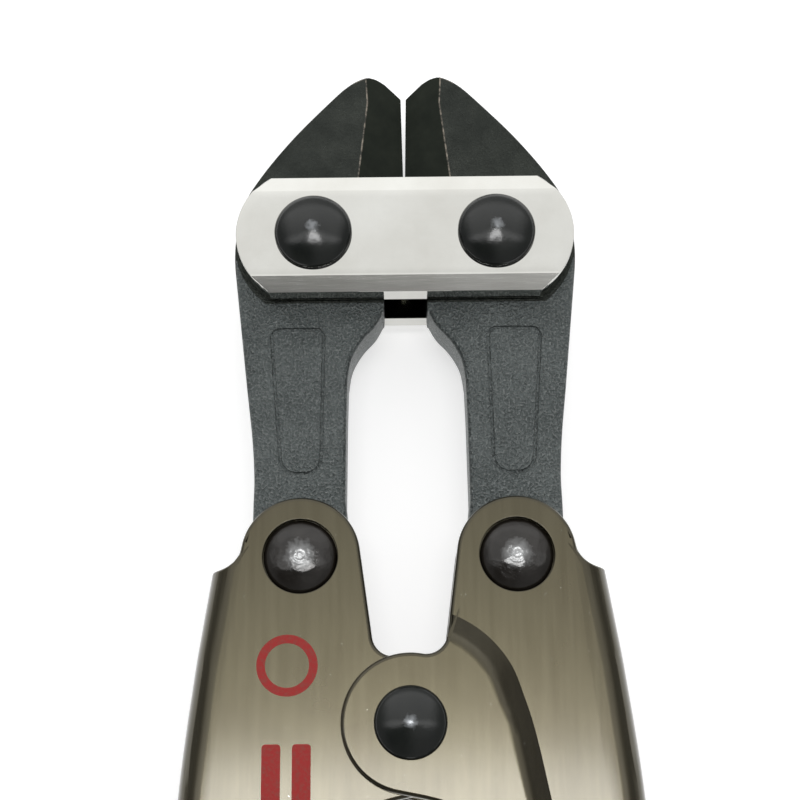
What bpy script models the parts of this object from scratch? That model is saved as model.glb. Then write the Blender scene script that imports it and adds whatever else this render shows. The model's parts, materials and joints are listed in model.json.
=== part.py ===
"""Mini bolt cutters: two forged blades, two link plates and two pressed channel handles.

The tool lies flat. +Y points to the jaws, +X to the right, +Z up, away from the surface.
Design sizes are millimetres, measured from the main pivot O at the tool's mid-plane.
"""
import math

import bmesh
import bpy
from mathutils import Matrix, Vector

MM = 0.001

# Driving dimensions, in mm
BLADE_PIVOT = (13.75, 72.4)      # right blade rivet
ARM_PIVOT = (15.5, 23.7)         # right blade to right handle rivet
TIP_Y = 100.8
END_Y = -107.8                   # lower end of the grips
GAP = 0.25                       # between pieces that touch
HEAD_HALF = 3.85                 # blade half thickness under the link plates
ARM_HALF = 4.15                  # blade half thickness along the arms
ARM_TOP_Y = 62.76                # step between arm and machined head
PLATE_IN = 4.4                   # link plate inner face
PLATE_OUT = 8.65                 # link plate outer face
PLATE_HALF = 9.25                # half of the link plate's height
PLATE_END_R = 10.9               # radius of its round ends
PLATE_END_X = 14.5               # centre of that radius
CHAMFER = (2.4, 0.8)             # width and depth of the bevels on its long edges
SHEET = 2.0                      # handle sheet thickness
SHEET_IN = 4.4                   # handle sheet inner face
FOLD_OUT = 4.2                   # outside radius of the channel's folds
FOLD_IN = 2.2                    # inside radius of the channel's folds
SHEET_OUT = SHEET_IN + SHEET
RAISED_IN = SHEET_OUT + GAP      # joggled ear inner face
RAISED_OUT = RAISED_IN + SHEET
BLADE_SHANK = 3.6
ARM_SHANK = 3.3
PIN_SHANK = 2.0
OPEN_PIVOT_EXTRA = 0.2           # extra radial clearance in the left blade's handle hole
BLADE_HEAD_R = 5.8
BLADE_HEAD_H = 2.7
ARM_HEAD_R = 5.05
SINK_R = 5.35                    # counterbore of the arm rivets
SINK_DEPTH = 1.2
EAR_R = 8.6                      # ear round the arm rivet
PIVOT_EAR_R = 9.65               # ear round the main pivot
LATCH_PIN = (13.0, -17.5)        # latch rivet; the catch pin is its mirror point
LATCH_STOW = 104.0               # degrees from hooked to folded away
HANDLE_END_Y = END_Y + 2.1
HANDLE_TOP_Y = 22.0              # top of the outer wall
GRIP_TOP_Y = -52.0
GRIP_WALL = 1.6
Z_MID = PLATE_OUT + GAP + BLADE_HEAD_H
Y_SHIFT = -(TIP_Y + END_Y) / 2

# Edges of the lower handle, right side: (y, x)
OUTER_EDGE = [(-112.0, 27.6), (-104.0, 28.8), (-90.0, 30.6), (-70.0, 32.5), (-50.0, 33.5),
              (-30.0, 33.7), (-9.5, 32.5), (6.6, 30.7), (18.0, 29.0), (22.5, 28.27)]
INNER_EDGE = [(-112.0, 13.8), (-100.0, 14.8), (-80.0, 16.0), (-60.0, 16.4), (-46.0, 15.6),
              (-34.0, 13.2), (-24.0, 10.6), (-16.0, 8.9)]


def clear_scene():
    for obj in list(bpy.data.objects):
        bpy.data.objects.remove(obj, do_unlink=True)


def material(name, color, roughness, metallic):
    mat = bpy.data.materials.new(name)
    mat.use_nodes = True
    shader = mat.node_tree.nodes["Principled BSDF"]
    shader.inputs["Base Color"].default_value = (*color, 1.0)
    shader.inputs["Roughness"].default_value = roughness
    shader.inputs["Metallic"].default_value = metallic
    return mat


# ---------------------------------------------------------------- outlines

def arc(centre, radius, start, end, steps):
    """Points on an arc from start to end degrees, both ends included."""
    points = []
    for i in range(steps + 1):
        a = math.radians(start + (end - start) * i / steps)
        points.append((centre[0] + radius * math.cos(a), centre[1] + radius * math.sin(a)))
    return points


def spline(points, steps):
    """Catmull-Rom curve through the points, with steps spans between neighbours."""
    result = []
    last = len(points) - 1
    for i in range(last):
        p = [Vector(points[min(max(i + k, 0), last)]) for k in (-1, 0, 1, 2)]
        for s in range(steps):
            t = s / steps
            v = 0.5 * (2 * p[1] + (p[2] - p[0]) * t + (2 * p[0] - 5 * p[1] + 4 * p[2] - p[3]) * t ** 2
                       + (3 * p[1] - p[0] - 3 * p[2] + p[3]) * t ** 3)
            result.append(tuple(v))
    result.append(tuple(points[-1]))
    return result


def edge_x(edge, y):
    """Where a handle edge, a smooth curve through its (y, x) points, lies at height y."""
    curve = spline(edge, 12)
    for (y0, x0), (y1, x1) in zip(curve, curve[1:]):
        if y0 <= y <= y1:
            return x0 + (x1 - x0) * (y - y0) / (y1 - y0)
    raise ValueError("y is beyond the edge")


def edge_points(edge, y0, y1, count, offset=0.0):
    """Points along a handle edge from y0 to y1, moved sideways by offset."""
    ys = [y0 + (y1 - y0) * i / count for i in range(count + 1)]
    return [(edge_x(edge, y) + offset, y) for y in ys]


# ---------------------------------------------------------------- solids

def new_object(name, bm, pivot=(0.0, 0.0)):
    """Object whose origin is on the pivot axis; the mesh is in mm round the main pivot."""
    bm.normal_update()
    bmesh.ops.recalc_face_normals(bm, faces=bm.faces)
    origin = Vector((pivot[0], pivot[1], 0.0))
    bm.transform(Matrix.Scale(MM, 4) @ Matrix.Translation(-origin))
    mesh = bpy.data.meshes.new(name)
    bm.to_mesh(mesh)
    bm.free()
    obj = bpy.data.objects.new(name, mesh)
    obj.location = (origin + Vector((0.0, Y_SHIFT, Z_MID))) * MM
    bpy.context.collection.objects.link(obj)
    return obj


def prism(points, z0, z1):
    """Closed prism over an outline."""
    bm = bmesh.new()
    low = [bm.verts.new((x, y, z0)) for x, y in points]
    high = [bm.verts.new((x, y, z1)) for x, y in points]
    bm.faces.new(list(reversed(low)))
    bm.faces.new(high)
    for i in range(len(points)):
        j = (i + 1) % len(points)
        bm.faces.new((low[i], low[j], high[j], high[i]))
    return bm


def loft(loops):
    """Closed solid through loops of equal point counts, capped at both ends."""
    bm = bmesh.new()
    rings = [[bm.verts.new(p) for p in loop] for loop in loops]
    for a, b in zip(rings, rings[1:]):
        for i in range(len(a)):
            j = (i + 1) % len(a)
            bm.faces.new((a[i], a[j], b[j], b[i]))
    bm.faces.new(list(reversed(rings[0])))
    bm.faces.new(rings[-1])
    return bm


def turned(profile, centre, steps=24):
    """Solid of revolution about Z through centre; the profile runs (radius, z) bottom to top."""
    loops = []
    for radius, z in profile:
        ring = arc(centre, max(radius, 0.05), 0, 360 - 360 / steps, steps - 1)
        loops.append([(x, y, z) for x, y in ring])
    return loft(loops)


def turned_tube(centre, r_in, r_out, z0, z1, steps=28):
    """Plain tube about Z."""
    bm = bmesh.new()
    rings = []
    for radius, z in ((r_out, z0), (r_out, z1), (r_in, z1), (r_in, z0)):
        ring = arc(centre, radius, 0, 360 - 360 / steps, steps - 1)
        rings.append([bm.verts.new((x, y, z)) for x, y in ring])
    for a, b in zip(rings, rings[1:] + rings[:1]):
        for i in range(steps):
            j = (i + 1) % steps
            bm.faces.new((a[i], a[j], b[j], b[i]))
    return bm


def apply_boolean(obj, tool, operation):
    """Apply one exact boolean and remove the tool."""
    modifier = obj.modifiers.new("bool", "BOOLEAN")
    modifier.object = tool
    modifier.operation = operation
    modifier.solver = "EXACT"
    bpy.context.view_layer.update()
    graph = bpy.context.evaluated_depsgraph_get()
    mesh = bpy.data.meshes.new_from_object(obj.evaluated_get(graph))
    obj.modifiers.clear()
    obj.data = mesh
    bpy.data.objects.remove(tool, do_unlink=True)


def cut(obj, bm):
    apply_boolean(obj, new_object("tool", bm), "DIFFERENCE")


def keep(obj, bm):
    apply_boolean(obj, new_object("tool", bm), "INTERSECT")


def taken_back(obj):
    """The object's mesh as a bmesh in mm; the object itself is removed."""
    bm = bmesh.new()
    bm.from_mesh(obj.data)
    bm.transform(Matrix.Scale(1 / MM, 4))
    bpy.data.objects.remove(obj, do_unlink=True)
    return bm


def hole(obj, centre, radius, z0=-20.0, z1=20.0, steps=28):
    ring = arc(centre, radius, 0, 360 - 360 / steps, steps - 1)
    cut(obj, prism(ring, z0, z1))


def turn_over(bm):
    """Half turn about the tool's long axis, which makes the left handle from the right."""
    bm.transform(Matrix.Rotation(math.pi, 4, "Y"))
    return bm


def finish(obj, mat, sharp=35.0):
    obj.data.materials.clear()
    obj.data.materials.append(mat)
    obj.data.shade_smooth()
    obj.data.set_sharp_from_angle(angle=math.radians(sharp))


# ---------------------------------------------------------------- head

def plate_loop(half_height, z):
    """Link plate outline, cut off at half_height: two long sides and two round ends."""
    a = math.degrees(math.asin(half_height / PLATE_END_R))
    right = arc((PLATE_END_X, BLADE_PIVOT[1]), PLATE_END_R, -a, a, 10)
    left = arc((-PLATE_END_X, BLADE_PIVOT[1]), PLATE_END_R, 180 - a, 180 + a, 10)
    return [(x, y, z) for x, y in right + left]


def link_plate(name, side, mat):
    """Plate with a wide flat bevel along each of its long edges."""
    width, depth = CHAMFER
    loops = [plate_loop(PLATE_HALF, PLATE_IN * side),
             plate_loop(PLATE_HALF, (PLATE_OUT - depth) * side),
             plate_loop(PLATE_HALF - width, PLATE_OUT * side)]
    obj = new_object(name, loft(loops))
    for x in (-BLADE_PIVOT[0], BLADE_PIVOT[0]):
        hole(obj, (x, BLADE_PIVOT[1]), BLADE_SHANK + GAP)
    finish(obj, mat)


def dome(radius, height, z, steps):
    """Profile of a rivet head: short rim, then a round cap; ends at the top."""
    rim = 0.25 * height
    points = [(radius * 0.97, z), (radius, z + rim * 0.4)]
    for i in range(1, steps + 1):
        a = math.radians(90 * i / steps)
        points.append((radius * math.cos(a), z + rim + (height - rim) * math.sin(a)))
    return points


def rivet(name, centre, shank, head_r, head_h, low, high, mat, steps=24):
    """Rivet with a domed head below z=low and one above z=high."""
    top = dome(head_r, head_h, high, 4)
    bottom = [(r, 2 * low - (low + (z - high))) for r, z in reversed(top)]
    profile = bottom + [(shank, low), (shank, high)] + top
    obj = new_object(name, turned(profile, centre, steps), centre)
    finish(obj, mat)


# ---------------------------------------------------------------- blades

def blade_outline():
    """Right blade seen from the front, anticlockwise from the inner jaw corner."""
    cutting_edge = [(0.4, 98.6), (0.15, 84.9), (0.15, 79.0), (3.25, 74.5), (3.25, 62.4)]
    throat = spline([(3.3, 61.6), (4.6, 59.2), (6.6, 56.9), (8.2, 54.0), (8.8, 50.6)], 3)
    inner = [(8.95, 45.0), (9.1, 32.3)]
    end = arc(ARM_PIVOT, 7.2, 172, 368, 16)
    outer = spline([(22.55, 32.0), (22.5, 36.0), (22.9, 42.0), (23.9, 50.5), (25.3, 63.0),
                    (26.0, 71.5), (24.9, 78.6), (22.3, 83.6), (17.3, 90.2), (11.2, 96.8),
                    (8.5, 99.3), (6.3, 100.5), (4.4, TIP_Y), (2.9, 100.35)], 3)
    return cutting_edge + throat + inner + end + outer


def flank_cutter():
    """Wedge that grinds one jaw flank from the ridge line down to the cutting edge."""
    loops = []
    for y, edge_at, ridge_at in ((79.5, 0.2, 7.6), (105.0, 0.7, 6.1)):
        slope = (HEAD_HALF - 0.15) / (ridge_at - edge_at)
        low_x = -3.0
        high_x = ridge_at + 4.0
        low_z = 0.15 + slope * (low_x - edge_at)
        high_z = 0.15 + slope * (high_x - edge_at)
        loops.append([(low_x, y, low_z), (high_x, y, high_z), (low_x, y, high_z)])
    return loft(loops)


def recess():
    """The machined seat of the link plate on the right blade, and the jaw beyond it."""
    rim = 12.1
    low = math.degrees(math.asin((ARM_TOP_Y - BLADE_PIVOT[1]) / rim))
    edge = arc(BLADE_PIVOT, rim, low, -12, 6)
    return [(-1, ARM_TOP_Y)] + edge + [(30, 70), (30, 110), (-1, 110)]


def blade(name, side, mat):
    """Blade; side is 1 for the right one and -1 for its mirror."""
    points = blade_outline()
    obj = new_object(name, prism(points, -ARM_HALF, ARM_HALF))
    for up in (1, -1):
        cut(obj, prism(recess(), *sorted((up * HEAD_HALF, up * 10))))
        wedge = flank_cutter()
        wedge.transform(Matrix.Scale(up, 4, (0, 0, 1)))
        cut(obj, wedge)
    hole(obj, BLADE_PIVOT, BLADE_SHANK + GAP)
    extra = OPEN_PIVOT_EXTRA if side < 0 else 0.0
    hole(obj, ARM_PIVOT, ARM_SHANK + GAP + extra)
    bm = taken_back(obj)
    bm.transform(Matrix.Scale(side, 4, (1, 0, 0)))
    final = new_object(name, bm, (side * BLADE_PIVOT[0], BLADE_PIVOT[1]))
    finish(final, mat)


# ---------------------------------------------------------------- handles

def inner_fillet():
    """Fillet between the inner edge under the ear and the top of the pivot ear."""
    radius = 3.0
    line_x = 5.3
    centre_x = line_x - radius
    centre_y = math.sqrt((PIVOT_EAR_R + radius) ** 2 - centre_x ** 2)
    toward_ear = math.degrees(math.atan2(-centre_y, -centre_x))
    return arc((centre_x, centre_y), radius, -7.0, toward_ear, 6)


def shoulder_fillet():
    """Fillet between the flat top of the outer wall and the ear round the arm rivet."""
    radius = 3.6
    centre_y = HANDLE_TOP_Y + radius
    reach = EAR_R + radius
    centre_x = ARM_PIVOT[0] + math.sqrt(reach ** 2 - (centre_y - ARM_PIVOT[1]) ** 2)
    toward_ear = math.degrees(math.atan2(ARM_PIVOT[1] - centre_y, ARM_PIVOT[0] - centre_x))
    return arc((centre_x, centre_y), radius, -90.0, toward_ear, 5)


def handle_outline():
    """Right handle seen from the front, anticlockwise from the inner edge under the ear."""
    ear_start = math.degrees(math.atan2(inner_fillet()[-1][1], inner_fillet()[-1][0]))
    pivot_ear = arc((0, 0), PIVOT_EAR_R, ear_start, 258, 20)
    lower_lip = spline([(2.0, -10.25), (5.0, -11.2), (7.4, -13.2), (8.9, -16.0)], 2)
    inner = edge_points(INNER_EDGE, -19.0, HANDLE_END_Y, 10)
    outer = edge_points(OUTER_EDGE, HANDLE_END_Y, HANDLE_TOP_Y, 14)
    ear = arc(ARM_PIVOT, EAR_R, 15, 171, 16)
    return inner_fillet() + pivot_ear[1:] + lower_lip + inner + outer + shoulder_fillet() + ear


def bevel_outer_edges(bm, is_outer, width, segments):
    """Round the long outer edges of a prism, as the press folds them."""
    bm.normal_update()
    picked = []
    for edge in bm.edges:
        a, b = edge.verts
        flat = abs(a.co.z - b.co.z) < 0.01
        if flat and is_outer(a.co) and is_outer(b.co):
            picked.append(edge)
    bmesh.ops.bevel(bm, geom=picked, offset=width, segments=segments, profile=0.5, affect="EDGES")
    return bm


def near_edge(offset):
    """Test for points on the outer edge curve moved by offset."""
    def test(co):
        if not HANDLE_END_Y - 3.0 < co.y < HANDLE_TOP_Y + 0.05:
            return False
        return abs(co.x - edge_x(OUTER_EDGE, co.y) - offset) < 0.05
    return test


def channel_pocket():
    """The space inside the channel, open at the inner side and at both ends."""
    wall = edge_points(OUTER_EDGE, HANDLE_END_Y - 2.0, 20.0, 14, -SHEET)
    top_x = wall[-1][0]
    outline = ([(-30, 40), (-30, HANDLE_END_Y - 2.0)] + wall
               + [(top_x - 0.3, HANDLE_TOP_Y), (40, HANDLE_TOP_Y), (40, 40)])
    bm = prism(outline, -SHEET_IN, SHEET_IN)
    return bevel_outer_edges(bm, near_edge(-SHEET), FOLD_IN, 2)


def joggle_stations():
    """Pairs of points across the joggle: foot of the slope, then its shoulder."""
    pairs = []
    for a in (84, 66, 48, 30, 12):
        foot = arc((0, 0), 16.3, a, a, 1)[0]
        top = arc((0, 0), 12.6, a, a, 1)[0]
        pairs.append((foot, top))
    pairs += [((17.3, -1.3), (13.6, -0.6)), ((18.7, -8.0), (15.0, -7.4)),
              ((19.9, -15.0), (16.6, -15.0)), ((20.0, -23.0), (16.6, -21.5)),
              ((17.0, -29.5), (14.0, -26.5)), ((11.0, -32.5), (9.5, -29.0)),
              ((4.0, -33.5), (3.5, -30.0))]
    foot = spline([p[0] for p in pairs], 3)
    top = spline([p[1] for p in pairs], 3)
    return list(zip(foot, top))


def joggle_solid():
    """Slope and raised plate, wider than the handle, to be trimmed by its outline."""
    loops = []
    stations = joggle_stations()
    for i, (foot, top) in enumerate(stations):
        t = i / (len(stations) - 1)
        far = (-14.0, 18.0 - 50.0 * t)
        out = Vector(foot) + (Vector(foot) - Vector(top)).normalized() * 0.4
        loops.append([(out.x, out.y, SHEET_IN + 0.1), (*foot, SHEET_IN), (*top, RAISED_IN),
                      (*far, RAISED_IN), (*far, RAISED_OUT), (*top, RAISED_OUT),
                      (*foot, SHEET_OUT), (out.x, out.y, SHEET_OUT - 0.1)])
    return loft(loops)


def joggle_window():
    """Prism over everything inside the foot of the slope."""
    feet = [foot for foot, _ in joggle_stations()]
    return prism(feet + [(-20.0, -33.5), (-20.0, 18.0)], 3.0, 12.0)


def right_handle_mesh():
    """Channel with its flat rear ear and its joggled front ear, in mm."""
    shell = prism(handle_outline(), -SHEET_OUT, SHEET_OUT)
    bevel_outer_edges(shell, near_edge(0.0), FOLD_OUT, 4)
    obj = new_object("handle_work", shell)
    cut(obj, channel_pocket())
    cut(obj, joggle_window())
    raised = new_object("raised_work", joggle_solid())
    keep(raised, prism(handle_outline(), 3.0, 12.0))
    apply_boolean(obj, raised, "UNION")
    hole(obj, (0, 0), ARM_SHANK + GAP)
    hole(obj, ARM_PIVOT, ARM_SHANK + GAP)
    hole(obj, LATCH_PIN, PIN_SHANK + GAP)
    hole(obj, ARM_PIVOT, SINK_R, SHEET_OUT - SINK_DEPTH, 12.0)
    hole(obj, ARM_PIVOT, SINK_R, -12.0, -SHEET_OUT + SINK_DEPTH)
    return taken_back(obj)


def handles(mat):
    finish(new_object("handle_right", right_handle_mesh(), ARM_PIVOT), mat)
    finish(new_object("handle_left", turn_over(right_handle_mesh())), mat)


def arm_rivet(name, side, mat):
    """Rivet through blade and handle, its heads sunk in the counterbores."""
    seat = SHEET_OUT - SINK_DEPTH + GAP
    centre = (side * ARM_PIVOT[0], ARM_PIVOT[1])
    rivet(name, centre, ARM_SHANK, ARM_HEAD_R, 2.2, -seat, seat, mat)


def grip_section(y, wall, outer_r, inner_r):
    """Rounded rectangle round the channel at height y, wall outside it, anticlockwise from +Y."""
    x0 = edge_x(INNER_EDGE, y) - wall
    x1 = edge_x(OUTER_EDGE, y) + wall
    half = SHEET_OUT + wall
    corners = [(x1 - outer_r, half - outer_r, outer_r, 90), (x1 - outer_r, outer_r - half, outer_r, 0),
               (x0 + inner_r, inner_r - half, inner_r, -90), (x0 + inner_r, half - inner_r, inner_r, 180)]
    loop = []
    for x, z, radius, start in corners:
        loop += [(px, y, pz) for px, pz in arc((x, z), radius, start, start - 90, 3)]
    return loop


def shrunk(loop, amount, y):
    """Section moved to y and pulled in by amount on every side, for a rounded end."""
    xs = [p[0] for p in loop]
    mid = (min(xs) + max(xs)) / 2
    half = (max(xs) - min(xs)) / 2
    high = max(p[2] for p in loop)
    return [(mid + (x - mid) * (1 - amount / half), y, z * (1 - amount / high)) for x, _, z in loop]


def grip(name, side, mat):
    """Dipped plastic sleeve with a closed, rounded lower end."""
    clearance = 0.3
    wall = GRIP_WALL + clearance
    round_end = 2.4
    outer_y = [END_Y + round_end + (GRIP_TOP_Y - END_Y - round_end) * i / 9 for i in range(10)]
    inner_y = [GRIP_TOP_Y + (HANDLE_END_Y - clearance - GRIP_TOP_Y) * i / 9 for i in range(10)]
    base = grip_section(outer_y[0], wall, 4.0, 2.6)
    loops = []
    for a in (90, 55, 25):
        pulled = round_end * (1 - math.cos(math.radians(a)))
        drop = round_end * math.sin(math.radians(a))
        loops.append(shrunk(base, pulled, outer_y[0] - drop))
    loops += [grip_section(y, wall, 4.0, 2.6) for y in outer_y]
    loops += [grip_section(y, clearance, 2.7, 0.2) for y in inner_y]
    bm = loft(loops)
    if side < 0:
        turn_over(bm)
    finish(new_object(name, bm), mat)


# ---------------------------------------------------------------- pivot, spring and latch

def pivot_parts(rivet_mat, sleeve_mat):
    low = -RAISED_OUT - GAP
    rivet("pivot_rivet", (0, 0), ARM_SHANK, ARM_HEAD_R, 2.3, low, -low, rivet_mat)
    tube = turned_tube((0, 0), ARM_SHANK + GAP, 5.0, -ARM_HALF, ARM_HALF)
    finish(new_object("pivot_sleeve", tube), sleeve_mat)


def spring_path():
    """Left leg up, three and a half turns round the sleeve, right leg down."""
    radius = 6.9
    turns = 3.5
    reach = 3.0
    per_turn = 14
    leg = [(9.6, -24.0), (9.0, -17.5), (7.9, -9.0), (7.1, -3.0)]
    path = [(-x, y, -reach) for x, y in leg]
    count = int(turns * per_turn)
    for i in range(count + 1):
        a = math.pi - 2 * math.pi * turns * i / count
        z = -reach + 2 * reach * i / count
        path.append((radius * math.cos(a), radius * math.sin(a), z))
    path += [(x, y, reach) for x, y in reversed(leg)]
    return path


def opening_spring(mat):
    """Wire of the torsion spring, as rings of six points along its path."""
    wire_r = 0.75
    path = [Vector(p) for p in spring_path()]
    loops = []
    for i, point in enumerate(path):
        before = path[max(i - 1, 0)]
        after = path[min(i + 1, len(path) - 1)]
        along = (after - before).normalized()
        side = along.cross(Vector((0, 0, 1))).normalized()
        up = side.cross(along)
        loops.append([point + wire_r * (side * math.cos(math.pi * k / 3) + up * math.sin(math.pi * k / 3))
                      for k in range(6)])
    finish(new_object("opening_spring", loft(loops)), mat, 70.0)


def latch_outline():
    """Latch in its hooked position, pivot at the origin, arm pointing to -X."""
    span = 2 * LATCH_PIN[0]
    nose = span + 5.0
    eye = arc((0, 0), 3.6, -118, 128, 14)
    body = [(-4.0, 2.6), (-span + 4.0, 2.4), (-span + 2.6, 2.2)]
    notch = arc((-span, 0), 2.45, 0, -180, 8)
    tip = [(-span - 2.45, 1.6), (-span - 3.0, 2.9), (-nose, 2.0), (-nose - 0.6, -1.2),
           (-nose + 0.6, -4.2), (-span, -4.9), (-span + 4.0, -3.6), (-4.0, -2.6)]
    return eye + body + notch + tip


def latch(steel, rivet_mat):
    """Flat hook on its rivet, two spacers beside it, and the catch pin opposite."""
    bm = prism(latch_outline(), -1.0, 1.0)
    place = Matrix.Translation((*LATCH_PIN, 0)) @ Matrix.Rotation(math.radians(LATCH_STOW), 4, "Z")
    bm.transform(place)
    hook = new_object("latch", bm, LATCH_PIN)
    hole(hook, LATCH_PIN, PIN_SHANK + GAP)
    finish(hook, steel)
    front = turned_tube(LATCH_PIN, PIN_SHANK + GAP, 3.0, 1.0 + GAP, RAISED_IN - GAP)
    rear = turned_tube(LATCH_PIN, PIN_SHANK + GAP, 3.0, -SHEET_IN + GAP, -1.0 - GAP)
    finish(new_object("latch_spacer_front", front), steel)
    finish(new_object("latch_spacer_rear", rear), steel)
    high = RAISED_OUT + GAP
    low = -SHEET_OUT - GAP
    rivet("latch_rivet", LATCH_PIN, PIN_SHANK, 2.9, 1.3, low, high, rivet_mat, 16)
    catch_pin(rivet_mat)


def catch_pin(mat):
    """Shouldered pin in the left handle; the latch hooks on its slimmer middle."""
    middle = 1.7
    shoulder = 2.8
    high = SHEET_OUT + GAP
    low = -RAISED_OUT - GAP
    top = dome(2.9, 1.3, high, 3)
    bottom = [(r, low + high - z) for r, z in reversed(top)]
    profile = bottom + [(PIN_SHANK, low), (PIN_SHANK, -RAISED_IN + GAP), (shoulder, -RAISED_IN + GAP),
                        (shoulder, -middle), (PIN_SHANK, -middle), (PIN_SHANK, middle),
                        (shoulder, middle), (shoulder, SHEET_IN - GAP),
                        (PIN_SHANK, SHEET_IN - GAP), (PIN_SHANK, high)] + top
    centre = (-LATCH_PIN[0], LATCH_PIN[1])
    finish(new_object("latch_catch_pin", turned(profile, centre, 16), centre), mat)


def main():
    clear_scene()
    black = material("blade_black", (0.045, 0.05, 0.052), 0.55, 0.6)
    chrome = material("plate_chrome", (0.78, 0.78, 0.76), 0.15, 1.0)
    bronze = material("handle_bronze", (0.19, 0.18, 0.14), 0.32, 0.9)
    rivet_black = material("rivet_black", (0.03, 0.032, 0.034), 0.3, 0.8)
    steel = material("spring_steel", (0.45, 0.45, 0.46), 0.35, 1.0)
    vinyl = material("grip_vinyl", (0.03, 0.03, 0.032), 0.6, 0.0)
    link_plate("link_plate_front", 1, chrome)
    link_plate("link_plate_rear", -1, chrome)
    plate_seat = PLATE_OUT + GAP
    for name, side in (("left", -1), ("right", 1)):
        centre = (side * BLADE_PIVOT[0], BLADE_PIVOT[1])
        rivet("blade_rivet_" + name, centre, BLADE_SHANK, BLADE_HEAD_R, BLADE_HEAD_H,
              -plate_seat, plate_seat, rivet_black)
        blade("blade_" + name, side, black)
        arm_rivet("arm_rivet_" + name, side, rivet_black)
        grip("grip_" + name, side, vinyl)
    handles(bronze)
    pivot_parts(rivet_black, steel)
    opening_spring(steel)
    latch(steel, rivet_black)


main()
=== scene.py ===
"""Mini bolt cutters: looks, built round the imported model.

Shapes are made in millimetres, measured from the main pivot at the tool's mid-plane,
and moved to the frame's metres when a piece is placed.
"""
import json
import math
import random

import bmesh
import bpy
from mathutils import Matrix, Vector

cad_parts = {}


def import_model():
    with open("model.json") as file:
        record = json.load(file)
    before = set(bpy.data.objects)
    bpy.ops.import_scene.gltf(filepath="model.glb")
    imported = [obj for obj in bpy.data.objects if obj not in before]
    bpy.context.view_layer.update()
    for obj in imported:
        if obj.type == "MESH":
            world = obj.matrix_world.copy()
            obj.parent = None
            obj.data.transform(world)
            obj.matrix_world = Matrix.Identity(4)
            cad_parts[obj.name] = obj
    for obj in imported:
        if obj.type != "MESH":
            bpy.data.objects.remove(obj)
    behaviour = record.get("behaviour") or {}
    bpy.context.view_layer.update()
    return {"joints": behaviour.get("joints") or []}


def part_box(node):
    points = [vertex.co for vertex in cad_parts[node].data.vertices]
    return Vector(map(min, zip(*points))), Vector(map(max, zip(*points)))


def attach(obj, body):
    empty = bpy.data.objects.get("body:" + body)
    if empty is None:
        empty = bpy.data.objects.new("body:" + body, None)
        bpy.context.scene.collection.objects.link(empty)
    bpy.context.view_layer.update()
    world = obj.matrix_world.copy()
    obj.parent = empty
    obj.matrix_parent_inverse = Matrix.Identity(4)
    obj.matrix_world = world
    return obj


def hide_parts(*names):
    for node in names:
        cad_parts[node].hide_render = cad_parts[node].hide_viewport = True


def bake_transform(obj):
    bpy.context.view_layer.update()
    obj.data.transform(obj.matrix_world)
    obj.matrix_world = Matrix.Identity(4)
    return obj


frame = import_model()

MM = 0.001
JOINTS = {joint["name"]: joint for joint in frame["joints"]}
ORIGIN = Vector(JOINTS["handle_pivot"]["pos_m"]) / MM


def pivot(joint):
    """A joint's (x, y) in the design frame, in mm."""
    p = Vector(JOINTS[joint]["pos_m"]) / MM - ORIGIN
    return (p.x, p.y)


def design_box(node):
    """A CAD node's lowest and highest corners in the design frame, in mm."""
    low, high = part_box(node)
    return low / MM - ORIGIN, high / MM - ORIGIN


BLADE_PIVOT = pivot("blade_right_pivot")
ARM_PIVOT = pivot("arm_pivot_right")
LATCH_PIN = pivot("latch_hinge")
END_Y = design_box("grip_right")[0].y
TIP_Y = design_box("blade_right")[1].y
PLATE_LOW, PLATE_HIGH = design_box("link_plate_front")
HANDLE_END_Y = design_box("handle_right")[0].y

GAP = 0.25
HEAD_HALF = 3.85                 # blade half thickness under the link plates
ARM_HALF = 4.15                  # blade half thickness along the arms
ARM_TOP_Y = 62.76                # step between arm and machined head
PLATE_IN = PLATE_LOW.z
PLATE_OUT = PLATE_HIGH.z
PLATE_HALF = (PLATE_HIGH.y - PLATE_LOW.y) / 2
PLATE_END_R = 10.9
PLATE_END_X = PLATE_HIGH.x - PLATE_END_R
CHAMFER = (2.4, 0.8)
SHEET = 2.0
SHEET_IN = 4.4
SHEET_OUT = SHEET_IN + SHEET
RAISED_IN = SHEET_OUT + GAP
RAISED_OUT = RAISED_IN + SHEET
BLADE_SHANK = 3.6
ARM_SHANK = 3.3
PIN_SHANK = 2.0
OPEN_PIVOT_EXTRA = 0.2
BLADE_HEAD_R = 5.8
BLADE_HEAD_H = 2.7
PIVOT_HEAD_R = 5.05
PIVOT_HEAD_H = 2.3
ARM_HEAD_H = 2.2
PIN_HEAD_R = 2.9
PIN_HEAD_H = 1.3
SINK_R = 5.35
SINK_DEPTH = 1.2
EAR_R = 8.6
PIVOT_EAR_R = 9.65
LATCH_STOW = 104.0
GRIP_TOP_Y = -52.0
GRIP_WALL = 1.6
HANDLE_TOP_Y = 22.0              # top of the handle's folded wall
FOLD_OUT = 4.2
FOLD_IN = 2.2

OUTER_EDGE = [(-112.0, 27.6), (-104.0, 28.8), (-90.0, 30.6), (-70.0, 32.5), (-50.0, 33.5),
              (-30.0, 33.7), (-9.5, 32.5), (6.6, 30.7), (18.0, 29.0), (22.5, 28.27)]
INNER_EDGE = [(-112.0, 13.8), (-100.0, 14.8), (-80.0, 16.0), (-60.0, 16.4), (-46.0, 15.6),
              (-34.0, 13.2), (-24.0, 10.6), (-16.0, 8.9)]


# ---------------------------------------------------------------- outlines

def arc(centre, radius, start, end, steps):
    """Points on an arc from start to end degrees, both ends included."""
    points = []
    for i in range(steps + 1):
        a = math.radians(start + (end - start) * i / steps)
        points.append((centre[0] + radius * math.cos(a), centre[1] + radius * math.sin(a)))
    return points


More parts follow.
